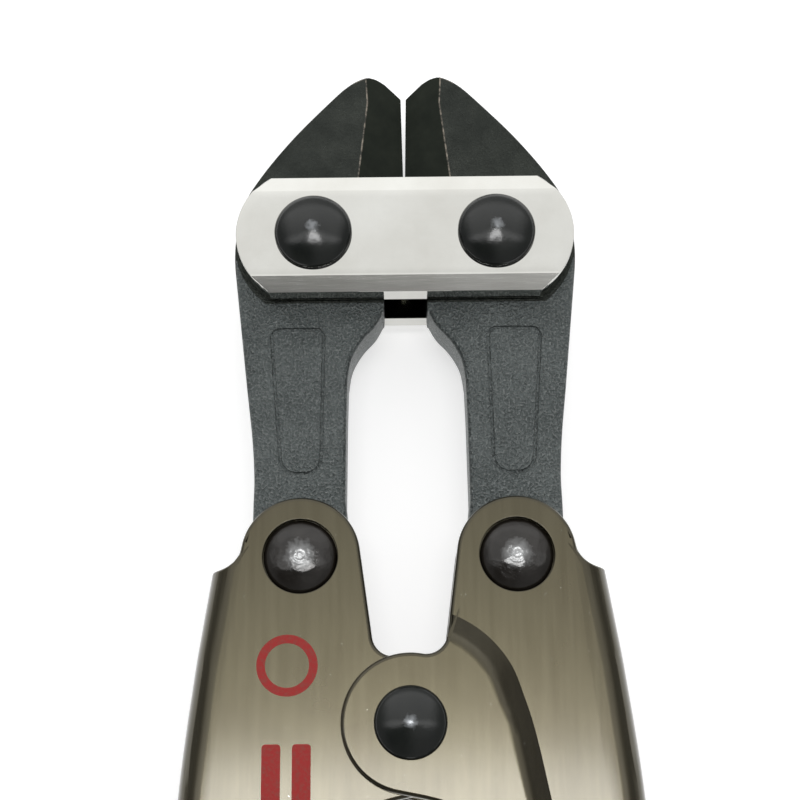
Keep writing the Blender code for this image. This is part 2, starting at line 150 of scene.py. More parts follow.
def spline(points, steps):
    """Catmull-Rom curve through the points, with steps spans between neighbours."""
    result = []
    last = len(points) - 1
    for i in range(last):
        p = [Vector(points[min(max(i + k, 0), last)]) for k in (-1, 0, 1, 2)]
        for s in range(steps):
            t = s / steps
            v = 0.5 * (2 * p[1] + (p[2] - p[0]) * t + (2 * p[0] - 5 * p[1] + 4 * p[2] - p[3]) * t ** 2
                       + (3 * p[1] - p[0] - 3 * p[2] + p[3]) * t ** 3)
            result.append(tuple(v))
    result.append(tuple(points[-1]))
    return result


CURVES = {}


def edge_x(edge, y):
    """Where a handle edge lies at height y."""
    key = id(edge)
    if key not in CURVES:
        CURVES[key] = spline(edge, 12)
    curve = CURVES[key]
    for (y0, x0), (y1, x1) in zip(curve, curve[1:]):
        if y0 <= y <= y1:
            return x0 + (x1 - x0) * (y - y0) / (y1 - y0)
    raise ValueError("y is beyond the edge")


def edge_points(edge, y0, y1, count, offset=0.0):
    """Points along a handle edge from y0 to y1, moved sideways by offset."""
    ys = [y0 + (y1 - y0) * i / count for i in range(count + 1)]
    return [(edge_x(edge, y) + offset, y) for y in ys]


# ---------------------------------------------------------------- solids

def prism(points, z0, z1):
    """Closed prism over an outline."""
    bm = bmesh.new()
    low = [bm.verts.new((x, y, z0)) for x, y in points]
    high = [bm.verts.new((x, y, z1)) for x, y in points]
    bm.faces.new(list(reversed(low)))
    bm.faces.new(high)
    for i in range(len(points)):
        j = (i + 1) % len(points)
        bm.faces.new((low[i], low[j], high[j], high[i]))
    return bm


def loft(loops, closed=False):
    """Solid through loops of equal point counts, capped at both ends or closed on itself."""
    bm = bmesh.new()
    rings = [[bm.verts.new(p) for p in loop] for loop in loops]
    pairs = list(zip(rings, rings[1:]))
    if closed:
        pairs.append((rings[-1], rings[0]))
    for a, b in pairs:
        for i in range(len(a)):
            j = (i + 1) % len(a)
            bm.faces.new((a[i], a[j], b[j], b[i]))
    if not closed:
        bm.faces.new(list(reversed(rings[0])))
        bm.faces.new(rings[-1])
    return bm


def turned(profile, centre, steps=72):
    """Solid of revolution about Z; the profile runs (radius, z) and may end on the axis."""
    bm = bmesh.new()
    rings = []
    for radius, z in profile:
        if radius < 1e-4:
            rings.append([bm.verts.new((centre[0], centre[1], z))])
        else:
            ring = arc(centre, radius, 0, 360 - 360 / steps, steps - 1)
            rings.append([bm.verts.new((x, y, z)) for x, y in ring])
    for a, b in zip(rings, rings[1:]):
        for i in range(steps):
            j = (i + 1) % steps
            if len(a) == 1:
                bm.faces.new((a[0], b[j], b[i]))
            elif len(b) == 1:
                bm.faces.new((a[i], a[j], b[0]))
            else:
                bm.faces.new((a[i], a[j], b[j], b[i]))
    return bm


def tube(centre, r_in, r_out, z0, z1, chamfer=0.25):
    """Turned tube with small chamfers."""
    c = chamfer
    profile = [(r_out - c, z0), (r_out, z0 + c), (r_out, z1 - c), (r_out - c, z1),
               (r_in + c, z1), (r_in, z1 - c), (r_in, z0 + c), (r_in + c, z0)]
    loops = []
    for radius, z in profile:
        ring = arc(centre, radius, 0, 355, 71)
        loops.append([(x, y, z) for x, y in ring])
    return loft(loops, closed=True)


def work(bm):
    """Working object in mm, for booleans and modifiers."""
    bm.normal_update()
    bmesh.ops.recalc_face_normals(bm, faces=bm.faces)
    mesh = bpy.data.meshes.new("work")
    bm.to_mesh(mesh)
    bm.free()
    obj = bpy.data.objects.new("work", mesh)
    bpy.context.scene.collection.objects.link(obj)
    return obj


def bake(obj):
    """Apply the object's modifiers to its mesh."""
    bpy.context.view_layer.update()
    graph = bpy.context.evaluated_depsgraph_get()
    mesh = bpy.data.meshes.new_from_object(obj.evaluated_get(graph))
    obj.modifiers.clear()
    obj.data = mesh


def boolean(obj, bm, operation="DIFFERENCE"):
    """Cut, join or trim a working object with another solid, which is used up."""
    tool = work(bm)
    modifier = obj.modifiers.new("bool", "BOOLEAN")
    modifier.object = tool
    modifier.operation = operation
    modifier.solver = "EXACT"
    bake(obj)
    bpy.data.objects.remove(tool, do_unlink=True)


def hole(obj, centre, radius, z0=-20.0, z1=20.0, steps=64):
    """Cut a round hole, right through unless z0 and z1 say otherwise."""
    boolean(obj, prism(arc(centre, radius, 0, 360 - 360 / steps, steps - 1), z0, z1))


def tidy(obj, merge=0.004, flat=0.4):
    """Merge doubled points and dissolve the edges that booleans leave on flat faces."""
    bm = bmesh.new()
    bm.from_mesh(obj.data)
    bmesh.ops.remove_doubles(bm, verts=bm.verts, dist=merge)
    bmesh.ops.dissolve_limit(bm, angle_limit=math.radians(flat), verts=bm.verts, edges=bm.edges)
    bm.to_mesh(obj.data)
    bm.free()


def soften(obj, width, segments=3, angle=32.0, sharp=36.0, share=None):
    """Round the outward edges sharper than angle, by a share of width, and shade the result."""
    bm = bmesh.new()
    bm.from_mesh(obj.data)
    bm.normal_update()
    weights = bm.edges.layers.float.new("bevel_weight_edge")
    for edge in bm.edges:
        if edge.is_manifold and edge.calc_face_angle_signed() > math.radians(angle):
            middle = (edge.verts[0].co + edge.verts[1].co) / 2
            edge[weights] = share(middle) if share else 1.0
    bm.to_mesh(obj.data)
    bm.free()
    bevel = obj.modifiers.new("bevel", "BEVEL")
    bevel.width = width
    bevel.segments = segments
    bevel.limit_method = "WEIGHT"
    bevel.use_clamp_overlap = False
    bevel.miter_outer = "MITER_ARC"
    bake(obj)
    obj.data.shade_smooth()
    obj.data.set_sharp_from_angle(angle=math.radians(sharp))
    weigh = obj.modifiers.new("normals", "WEIGHTED_NORMAL")
    weigh.mode = "FACE_AREA"
    weigh.weight = 60
    weigh.keep_sharp = True
    bake(obj)


def turn_over(obj):
    """Half turn about the tool's long axis."""
    obj.data.transform(Matrix.Rotation(math.pi, 4, "Y"))


def mirror(obj):
    """Mirror image across the tool's middle, faces still outward."""
    bm = bmesh.new()
    bm.from_mesh(obj.data)
    bm.transform(Matrix.Scale(-1, 4, (1, 0, 0)))
    bm.normal_update()
    bmesh.ops.reverse_faces(bm, faces=bm.faces)
    bm.to_mesh(obj.data)
    bm.free()


def place(obj, name, body, nodes, mats):
    obj.data.transform(Matrix.Scale(MM, 4) @ Matrix.Translation(ORIGIN))
    obj.name = name
    obj.data.name = name
    indices = [face.material_index for face in obj.data.polygons]
    obj.data.materials.clear()
    for mat in mats:
        obj.data.materials.append(mat)
    obj.data.polygons.foreach_set("material_index", [min(i, len(mats) - 1) for i in indices])
    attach(obj, body)
    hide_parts(*nodes)
    return obj


def smooth(obj, sharp=40.0):
    """Smooth shading with edges sharper than the given degrees left crisp."""
    obj.data.shade_smooth()
    obj.data.set_sharp_from_angle(angle=math.radians(sharp))


# ---------------------------------------------------------------- head

def plate_loop(half_height, z, x_trim=0.0):
    """Link plate outline cut off at half_height, its round ends pulled in by x_trim."""
    radius = PLATE_END_R - x_trim
    a = math.degrees(math.asin(half_height / PLATE_END_R))
    right = arc((PLATE_END_X, BLADE_PIVOT[1]), radius, -a, a, 40)
    left = arc((-PLATE_END_X, BLADE_PIVOT[1]), radius, 180 - a, 180 + a, 40)
    return [(x, y, z) for x, y in right + left]


def link_plate(name, side, mats):
    """Plate with a wide flat bevel along each long edge and a faint one round its ends."""
    width, depth = CHAMFER
    face = PLATE_HALF - width
    loops = [plate_loop(PLATE_HALF, PLATE_IN * side),
             plate_loop(PLATE_HALF, (PLATE_OUT - depth) * side),
             plate_loop(face, (PLATE_OUT - 0.14) * side),
             plate_loop(face - 0.1, PLATE_OUT * side, 1.7)]
    obj = work(loft(loops))
    tidy(obj, flat=0.2)
    soften(obj, 0.05, 2, 12, 8.0)
    place(obj, name, "head", [name.replace("_piece", "")], mats)


# Slope of a rivet head in degrees at shares of its radius
HEAD_SLOPE = [(0.0, 0.0), (0.04, 5.0), (0.1, 11.0), (0.25, 16.0), (0.45, 20.0), (0.65, 27.0), (0.82, 37.0),
              (0.93, 50.0), (1.0, 72.0)]


def head_slope(share):
    """Slope in radians at a share of the head's radius."""
    for (s0, a0), (s1, a1) in zip(HEAD_SLOPE, HEAD_SLOPE[1:]):
        if share <= s1:
            return math.radians(a0 + (a1 - a0) * (share - s0) / (s1 - s0))
    return math.radians(HEAD_SLOPE[-1][1])


def cap(radius, height, z, side, rim=0.16, steps=40):
    """Profile of a rivet head from its seat at z up to its pole."""
    drop = [0.0]
    for i in range(steps):
        drop.append(drop[-1] + math.tan(min(head_slope((i + 0.5) / steps), 1.4)) / steps)
    edge = rim * height
    points = [(radius * 0.955, z), (radius * 0.985, z + side * edge * 0.3)]
    for i in range(steps, -1, -1):
        rise = (height - edge) * (1 - drop[i] / drop[-1])
        points.append((radius * i / steps, z + side * (edge + rise)))
    return points


def rivet_profile(shank, radius, height, low, high):
    """Profile of a whole rivet, from the bottom pole to the top one."""
    bottom = list(reversed(cap(radius, height, low, -1)))
    return bottom + [(shank, low), (shank, high)] + cap(radius, height, high, 1)


PEEN_TILT = 0.105                # slope of a hammered facet for each mm from the axis


def peened(bm, centre, low, high, count, seed):
    """Flatten a rivet's domes with tilted facets, as hammering leaves them."""
    rng = random.Random(seed)
    planes = []
    for _ in range(count):
        a = rng.uniform(0, 2 * math.pi)
        r = rng.uniform(0.5, 4.2)
        x = r * math.cos(a)
        y = r * math.sin(a)
        sink = rng.uniform(-0.02, 0.05)
        planes.append((x, y, sink, rng.uniform(-0.05, 0.05)))
    domes = {1: high, -1: low}
    flat = {}
    for v in bm.verts:
        for side, seat in domes.items():
            if (v.co.z - seat) * side > 0.6:
                x = v.co.x - centre[0]
                y = v.co.y - centre[1]
                h = (v.co.z - seat) * side
                for px, py, sink, lean in planes:
                    d2 = px * px + py * py
                    top = ARM_HEAD_H - PEEN_TILT * d2 / 2 * 0.9 - sink
                    level = top - PEEN_TILT * (px * (x - px) + py * (y - py)) + lean * (x - px)
                    h = min(h, level)
                flat[v] = (side, seat, h)
    for v, (side, seat, h) in flat.items():
        v.co.z = seat + side * h


def mark_axis(obj, centre):
    """Store each point's distance from the piece's axis, in mm, for its material."""
    values = obj.data.attributes.new("from_axis", "FLOAT", "POINT")
    for i, v in enumerate(obj.data.vertices):
        values.data[i].value = math.hypot(v.co.x - centre[0], v.co.y - centre[1])


def blade_rivet(side, mats):
    """Rivet that holds a blade between the link plates."""
    name = "left" if side < 0 else "right"
    centre = (side * BLADE_PIVOT[0], BLADE_PIVOT[1])
    profile = rivet_profile(BLADE_SHANK, BLADE_HEAD_R, BLADE_HEAD_H + GAP, -PLATE_OUT, PLATE_OUT)
    obj = work(turned(profile, centre, 96))
    mark_axis(obj, centre)
    smooth(obj, 50)
    place(obj, "blade_rivet_head_" + name, "head", ["blade_rivet_" + name], mats)


def arm_rivet(side, mats):
    """Rivet whose heads sit in the handle's counterbores."""
    name = "left" if side < 0 else "right"
    centre = (side * ARM_PIVOT[0], ARM_PIVOT[1])
    seat = SHEET_OUT - SINK_DEPTH
    profile = rivet_profile(ARM_SHANK, SINK_R - 0.06, ARM_HEAD_H + GAP, -seat, seat)
    bm = turned(profile, centre, 96)
    peened(bm, centre, -seat, seat, 16, 11 + side)
    obj = work(bm)
    mark_axis(obj, centre)
    smooth(obj, 60)
    place(obj, "arm_rivet_head_" + name, "handle_" + name, ["arm_rivet_" + name], mats)


# ---------------------------------------------------------------- blades

def blade_outline():
    """Right blade seen from the front, anticlockwise from the inner jaw corner."""
    cutting_edge = [(0.4, 98.6), (0.15, 84.9), (0.15, 79.0), (3.25, 74.5), (3.25, 62.4)]
    throat = spline([(3.3, 61.6), (4.6, 59.2), (6.6, 56.9), (8.2, 54.0), (8.8, 50.6)], 8)
    inner = [(8.95, 45.0), (9.1, 32.3)]
    end = arc(ARM_PIVOT, 7.2, 172, 368, 48)
    outer = spline([(22.55, 32.0), (22.5, 36.0), (22.9, 42.0), (23.9, 50.5), (25.3, 63.0),
                    (26.0, 71.5), (24.9, 78.6), (22.3, 83.6), (17.3, 90.2), (11.2, 96.8),
                    (8.5, 99.3), (6.3, 100.5), (4.4, TIP_Y), (2.9, 100.35)], 8)
    return cutting_edge + throat + inner + end + outer


def flank_cutter():
    """Wedge that grinds one jaw flank from the ridge line down to the cutting edge."""
    loops = []
    for y, edge_at, ridge_at in ((79.5, 0.2, 7.6), (105.0, 0.7, 6.1)):
        slope = (HEAD_HALF - 0.15) / (ridge_at - edge_at)
        low_x = -3.0
        high_x = ridge_at + 4.0
        low_z = 0.15 + slope * (low_x - edge_at)
        high_z = 0.15 + slope * (high_x - edge_at)
        loops.append([(low_x, y, low_z), (high_x, y, high_z), (low_x, y, high_z)])
    return loft(loops)


def recess():
    """The machined seat of the link plate on the right blade, and the jaw beyond it."""
    rim = 12.1
    low = math.degrees(math.asin((ARM_TOP_Y - BLADE_PIVOT[1]) / rim))
    edge = arc(BLADE_PIVOT, rim, low, -12, 24)
    return [(-1, ARM_TOP_Y)] + edge + [(30, 70), (30, 110), (-1, 110)]


def rounded_polygon(corners, radii, steps=8):
    """Polygon with its corners rounded by the given radii."""
    points = []
    count = len(corners)
    for i in range(count):
        p = Vector(corners[i])
        before = (Vector(corners[i - 1]) - p).normalized()
        after = (Vector(corners[(i + 1) % count]) - p).normalized()
        half = before.angle(after) / 2
        reach = radii[i] / math.tan(half)
        middle = (before + after).normalized() * (radii[i] / math.sin(half)) + p
        start = p + before * reach - middle
        end = p + after * reach - middle
        a0 = math.atan2(start.y, start.x)
        a1 = math.atan2(end.y, end.x)
        if a1 - a0 > math.pi:
            a1 -= 2 * math.pi
        if a0 - a1 > math.pi:
            a1 += 2 * math.pi
        points += arc(middle, radii[i], math.degrees(a0), math.degrees(a1), steps)
    return points


def panel_groove(z):
    """Narrow forged groove round the panel on the arm."""
    corners = [(12.1, 58.8), (20.5, 58.8), (18.7, 36.1), (12.5, 36.1)]
    radii = [1.5, 1.6, 2.6, 2.6]
    outer = rounded_polygon(corners, radii)
    middle = Vector((15.8, 47.5))
    inner = []
    count = len(outer)
    for i in range(count):
        p = Vector(outer[i])
        along = (Vector(outer[(i + 1) % count]) - Vector(outer[i - 1])).normalized()
        side = Vector((along.y, -along.x))
        if side.dot(middle - p) < 0:
            side = -side
        inner.append(p + side * 0.42)
    loops = [[(p[0], p[1], z - 0.28) for p in outer], [(p[0], p[1], z + 1) for p in outer],
             [(p[0], p[1], z + 1) for p in inner], [(p[0], p[1], z - 0.28) for p in inner]]
    return loft(loops, closed=True)


def blade(side, mats):
    """Blade; side is 1 for the right one and -1 for its mirror."""
    points = blade_outline()
    bm = prism(points, -ARM_HALF, ARM_HALF)
    bm.normal_update()
    picked = [e for e in bm.edges
              if abs(e.verts[0].co.z - e.verts[1].co.z) < 0.01
              and max(v.co.y for v in e.verts) < 101.6
              and min(v.co.x for v in e.verts) > 3.4]
    bmesh.ops.bevel(bm, geom=picked, offset=0.75, segments=4, profile=0.5, affect="EDGES")
    obj = work(bm)
    for up in (1, -1):
        boolean(obj, prism(recess(), *sorted((up * HEAD_HALF, up * 10))))
        wedge = flank_cutter()
        wedge.transform(Matrix.Scale(up, 4, (0, 0, 1)))
        boolean(obj, wedge)
        groove = panel_groove(ARM_HALF)
        if up < 0:
            groove.transform(Matrix.Scale(-1, 4, (0, 0, 1)))
        boolean(obj, groove)
    hole(obj, BLADE_PIVOT, BLADE_SHANK + GAP)
    hole(obj, ARM_PIVOT, ARM_SHANK + GAP + (OPEN_PIVOT_EXTRA if side < 0 else 0.0))
    tidy(obj)
    if side < 0:
        mirror(obj)
    soften(obj, 0.12, 2, 24)
    for face in obj.data.polygons:
        c = face.center
        machined = c.y > ARM_TOP_Y - 0.3 and abs(c.z) < HEAD_HALF + 0.02
        ground = abs(face.normal.z) < 0.97 and abs(face.normal.z) > 0.3 and c.y > 78 and abs(c.x) < 8
        ridge = 0.9 < abs(face.normal.z) < 0.992 and c.y > 79 and 5.4 < abs(c.x) < 8.2
        face.material_index = 3 if ridge else (2 if ground else (1 if machined else 0))
    name = "left" if side < 0 else "right"
    place(obj, "blade_forging_" + name, "blade_" + name, ["blade_" + name], mats)


# ---------------------------------------------------------------- handles

def inner_fillet():
    """Fillet between the inner edge under the ear and the top of the pivot ear."""
    radius = 3.0
    centre_x = 5.3 - radius
    centre_y = math.sqrt((PIVOT_EAR_R + radius) ** 2 - centre_x ** 2)
    toward_ear = math.degrees(math.atan2(-centre_y, -centre_x))
    return arc((centre_x, centre_y), radius, -7.0, toward_ear, 14)


def shoulder_fillet():
    """Fillet between the flat top of the outer wall and the ear round the arm rivet."""
    radius = 3.6
    centre_y = HANDLE_TOP_Y + radius
    reach = EAR_R + radius
    centre_x = ARM_PIVOT[0] + math.sqrt(reach ** 2 - (centre_y - ARM_PIVOT[1]) ** 2)
    toward_ear = math.degrees(math.atan2(ARM_PIVOT[1] - centre_y, ARM_PIVOT[0] - centre_x))
    return arc((centre_x, centre_y), radius, -90.0, toward_ear, 12)


def handle_outline():
    """Right handle seen from the front, anticlockwise from the inner edge under the ear."""
    ear_start = math.degrees(math.atan2(inner_fillet()[-1][1], inner_fillet()[-1][0]))
    pivot_ear = arc((0, 0), PIVOT_EAR_R, ear_start, 258, 56)
    lower_lip = spline([(2.0, -10.25), (5.0, -11.2), (7.4, -13.2), (8.9, -16.0)], 6)
    inner = edge_points(INNER_EDGE, -19.0, HANDLE_END_Y, 40)
    outer = edge_points(OUTER_EDGE, HANDLE_END_Y, HANDLE_TOP_Y, 56)
    ear = arc(ARM_PIVOT, EAR_R, 15, 171, 48)
    return inner_fillet() + pivot_ear[1:] + lower_lip + inner + outer + shoulder_fillet() + ear


def folded_prism(offset, half, width, segments):
    """Block whose outer side follows the handle's and runs on past both ends, its long edges rounded."""
    side = edge_points(OUTER_EDGE, HANDLE_END_Y - 2.0, HANDLE_TOP_Y, 56, offset)
    last = Vector(side[-1])
    along = last - Vector(side[-2])
    side.append(tuple(last + along * ((44.0 - last.y) / along.y)))
    bm = prism([(-30.0, 44.0), (-30.0, HANDLE_END_Y - 2.0)] + side, -half, half)
    bm.normal_update()
    picked = [e for e in bm.edges
              if min(v.co.x for v in e.verts) > 0 and abs(e.verts[0].co.y - e.verts[1].co.y) > 0.01]
    bmesh.ops.bevel(bm, geom=picked, offset=width, segments=segments, profile=0.5, affect="EDGES")
    return bm


def joggle_stations():
    """Pairs of points across the joggle: foot of the slope, then its shoulder."""
    pairs = []
    for a in (84, 66, 48, 30, 12):
        pairs.append((arc((0, 0), 16.3, a, a, 1)[0], arc((0, 0), 12.2, a, a, 1)[0]))
    pairs += [((17.3, -1.3), (13.2, -0.6)), ((18.7, -8.0), (14.6, -7.4)),
              ((19.9, -15.0), (16.2, -15.0)), ((20.0, -23.0), (16.2, -21.5)),
              ((17.0, -29.5), (13.8, -26.3)), ((11.0, -32.5), (9.4, -28.8)),
              ((4.0, -33.5), (3.4, -29.8))]
    foot = spline([p[0] for p in pairs], 8)
    top = spline([p[1] for p in pairs], 8)
    return list(zip(foot, top))


def joggle_rise(share):
    """Height across the joggle from 0 at the foot to 1: an even slope that rolls over at the top."""
    even = 0.5
    slope = 1 / (even + (1 - even) / 2)
    if share < even:
        return slope * share
    t = (share - even) / (1 - even)
    return slope * (even + (1 - even) * (t - t * t / 2))


def joggle_solid():
    """Slope and raised plate, wider than the handle, to be trimmed by its outline."""
    loops = []
    stations = joggle_stations()
    steps = 12
    for i, (foot, top) in enumerate(stations):
        t = i / (len(stations) - 1)
        far = (-14.0, 18.0 - 50.0 * t)
        foot = Vector(foot)
        top = Vector(top)
        out = foot + (foot - top).normalized() * 0.4
        under = []
        over = []
        for k in range(steps + 1):
            s = k / steps
            p = foot + (top - foot) * s
            rise = (RAISED_OUT - SHEET_OUT) * joggle_rise(s)
            under.append((p.x, p.y, SHEET_IN + rise))
            over.append((p.x, p.y, SHEET_OUT + rise))
        loops.append([(out.x, out.y, SHEET_IN + 0.1)] + under + [(*far, RAISED_IN), (*far, RAISED_OUT)]
                     + over[::-1] + [(out.x, out.y, SHEET_OUT - 0.1)])
    return loft(loops)


def joggle_window():
    """Prism over everything inside the foot of the slope."""
    feet = [foot for foot, _ in joggle_stations()]
    return prism(feet + [(-20.0, -33.5), (-20.0, 18.0)], 3.0, 12.0)


def handle_edge(at):
    """Share of the full edge rounding: little at the counterbores and holes, all of it elsewhere."""
    for x, y in (ARM_PIVOT, (-ARM_PIVOT[0], ARM_PIVOT[1])):
        if math.hypot(at.x - x, at.y - y) < SINK_R + 0.2:
            return 0.25
    for x, y in ((0, 0), LATCH_PIN, (-LATCH_PIN[0], LATCH_PIN[1])):
        if math.hypot(at.x - x, at.y - y) < ARM_SHANK + GAP + 0.1:
            return 0.25
    return 1.0 if max(abs(at.z), 6.0) > 6.3 else 0.5


def handle(side, mats):
    """Channel with its flat rear ear and its joggled front ear; the left one is turned over."""
    obj = work(folded_prism(0.0, SHEET_OUT, FOLD_OUT, 12))
    boolean(obj, prism(handle_outline(), -12.0, 12.0), "INTERSECT")
    boolean(obj, folded_prism(-SHEET, SHEET_IN, FOLD_IN, 6))
    boolean(obj, joggle_window())
    raised = work(joggle_solid())
    boolean(raised, prism(handle_outline(), 3.0, 12.0), "INTERSECT")
    bm = bmesh.new()
    bm.from_mesh(raised.data)
    bpy.data.objects.remove(raised, do_unlink=True)
    boolean(obj, bm, "UNION")
    hole(obj, (0, 0), ARM_SHANK + GAP)
    hole(obj, ARM_PIVOT, ARM_SHANK + GAP)
    hole(obj, LATCH_PIN, PIN_SHANK + GAP)
    hole(obj, ARM_PIVOT, SINK_R, SHEET_OUT - SINK_DEPTH, 12.0, 96)
    hole(obj, ARM_PIVOT, SINK_R, -12.0, -SHEET_OUT + SINK_DEPTH, 96)
    tidy(obj)
    if side < 0:
        turn_over(obj)
    soften(obj, 0.6, 4, 38, share=handle_edge)
    name = "left" if side < 0 else "right"
    place(obj, "handle_channel_" + name, "handle_" + name, ["handle_" + name], mats)


def printed_mark(mats):
    """Plain ring and two bars printed on the left handle."""
    centre = (-17.2, 8.2)
    ring_out = arc(centre, 4.3, 0, 352.5, 47)
    ring_in = arc(centre, 3.1, 0, 352.5, 47)
    low = SHEET_OUT - 0.02
    high = SHEET_OUT + 0.03
    loops = [[(x, y, low) for x, y in ring_out], [(x, y, high) for x, y in ring_out],
             [(x, y, high) for x, y in ring_in], [(x, y, low) for x, y in ring_in]]
    bm = loft(loops, closed=True)
    for x0, x1 in ((-20.6, -18.0), (-16.4, -13.8)):
        outline = rounded_polygon([(x0, -16.0), (x1, -16.0), (x1, -2.6), (x0, -2.6)], [0.5] * 4, 5)
        bar = prism(outline, low, high)
        mesh = bpy.data.meshes.new("bar")
        bar.to_mesh(mesh)
        bar.free()
        bm.from_mesh(mesh)
    obj = work(bm)
    smooth(obj, 30)
    place(obj, "printed_mark", "handle_left", [], mats)


def grip_section(y, wall, outer_r, inner_r, steps):
    """Rounded rectangle round the channel at height y, wall outside it, anticlockwise from +Y."""
    x0 = edge_x(INNER_EDGE, y) - wall
    x1 = edge_x(OUTER_EDGE, y) + wall
    half = SHEET_OUT + wall
    corners = [(x1 - outer_r, half - outer_r, outer_r, 90), (x1 - outer_r, outer_r - half, outer_r, 0),
               (x0 + inner_r, inner_r - half, inner_r, -90), (x0 + inner_r, half - inner_r, inner_r, 180)]
    loop = []
    for x, z, radius, start in corners:
        loop += [(px, y, pz) for px, pz in arc((x, z), radius, start, start - 90, steps)]
    return loop


def shrunk(loop, amount, y):
    """Section moved to y and pulled in by amount on every side, for a rounded end."""
    xs = [p[0] for p in loop]
    mid = (min(xs) + max(xs)) / 2
    half = (max(xs) - min(xs)) / 2
    high = max(p[2] for p in loop)
    return [(mid + (x - mid) * (1 - amount / half), y, z * (1 - amount / high)) for x, _, z in loop]


def grip_depth(y):
    """How far the grip's surface is pressed in at height y: a row of ribs below a plain collar."""
    first = GRIP_TOP_Y - 7.0
    last = END_Y + 12.0
    pitch = 3.2
    if not last < y < first:
        return 0.0
    phase = (first - y) / pitch
    fade = min(1.0, (first - y) / 2.0, (y - last) / 2.0)
    return fade * 0.42 * max(0.0, math.sin(math.pi * (phase % 1.0))) ** 3


def grip(side, mats):
    """Dipped plastic sleeve with a closed, rounded lower end."""
    clearance = 0.06
    wall = GRIP_WALL + 0.3
    round_end = 2.4
    start = END_Y + round_end
    loops = []
    base = grip_section(start, wall, 4.0, 2.6, 8)
    for k in range(8):
        a = math.radians(90 - 90 * k / 8)
        loops.append(shrunk(base, round_end * (1 - math.cos(a)), start - round_end * math.sin(a)))
    count = 210
    for i in range(count + 1):
        y = start + (GRIP_TOP_Y - 0.5 - start) * i / count
        press = grip_depth(y)
        loops.append(grip_section(y, wall - press, 4.0 - press, 2.6 - press, 8))
    for inset, back in ((0.15, 0.15), (0.5, 0.0), (1.2, 0.0)):
        loops.append(grip_section(GRIP_TOP_Y - back, wall - inset, 4.0 - inset, 2.6 - inset, 8))
    for i in range(41):
        y = GRIP_TOP_Y + (HANDLE_END_Y - 0.3 - GRIP_TOP_Y) * i / 40
        loops.append(grip_section(y, clearance, 2.9, 0.25, 8))
    obj = work(loft(loops))
    if side < 0:
        turn_over(obj)
    smooth(obj, 60)
    name = "left" if side < 0 else "right"
    place(obj, "grip_sleeve_" + name, "handle_" + name, ["grip_" + name], mats)


# ---------------------------------------------------------------- pivot, spring and latch

def pivot_parts(rivet_mats, steel_mats):
    """Main rivet and the tube round it, between the handles' ears."""
    profile = rivet_profile(ARM_SHANK, PIVOT_HEAD_R, PIVOT_HEAD_H + GAP, -RAISED_OUT, RAISED_OUT)
    obj = work(turned(profile, (0, 0), 96))
    mark_axis(obj, (0, 0))
    smooth(obj, 50)
    place(obj, "pivot_rivet_head", "handle_right", ["pivot_rivet"], rivet_mats)
    obj = work(tube((0, 0), ARM_SHANK + GAP, 5.0, -ARM_HALF, ARM_HALF))
    smooth(obj)
    place(obj, "pivot_tube", "handle_right", ["pivot_sleeve"], steel_mats)


def spring_path():
    """Left leg up, three and a half turns round the sleeve, right leg down."""
    radius = 6.9
    turns = 3.5
    reach = 3.0
    per_turn = 48
    leg = spline([(9.6, -24.0), (9.0, -17.5), (7.9, -9.0), (7.1, -3.0), (radius, 0.0)], 8)[:-1]
    path = [(-x, y, -reach) for x, y in leg]
    count = int(turns * per_turn)
    for i in range(count + 1):
        a = math.pi - 2 * math.pi * turns * i / count
        path.append((radius * math.cos(a), radius * math.sin(a), -reach + 2 * reach * i / count))
    return path + [(x, y, reach) for x, y in reversed(leg)]


def opening_spring(mats):
    """Torsion spring whose upper leg follows one handle and whose lower leg follows the other."""
    wire_r = 0.75
    around = 14
    path = [Vector(p) for p in spring_path()]
    loops = []
    for i, point in enumerate(path):
        along = (path[min(i + 1, len(path) - 1)] - path[max(i - 1, 0)]).normalized()
        side = along.cross(Vector((0, 0, 1))).normalized()
        up = side.cross(along)
        ring = wire_r * (0.96 if i in (0, len(path) - 1) else 1.0)
        loops.append([point + ring * (side * math.cos(2 * math.pi * k / around)
                                      + up * math.sin(2 * math.pi * k / around)) for k in range(around)])
    obj = work(loft(loops))
    smooth(obj, 60)
    obj.data.transform(Matrix.Scale(MM, 4) @ Matrix.Translation(ORIGIN))
    obj.name = "torsion_spring"
    obj.data.materials.clear()
    obj.data.materials.append(mats[0])
    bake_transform(obj)
    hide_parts("opening_spring")


def latch_outline():
    """Latch in its hooked position, pivot at the origin, arm pointing to -X."""
    span = 2 * LATCH_PIN[0]
    nose = span + 5.0
    eye = arc((0, 0), 3.6, -118, 128, 40)
    body = [(-4.0, 2.6), (-span + 4.0, 2.4), (-span + 2.6, 2.2)]
    notch = arc((-span, 0), 2.45, 0, -180, 24)
    tip = [(-span - 2.45, 1.6), (-span - 3.0, 2.9), (-nose, 2.0), (-nose - 0.6, -1.2),
           (-nose + 0.6, -4.2), (-span, -4.9), (-span + 4.0, -3.6), (-4.0, -2.6)]
    return eye + body + notch + tip


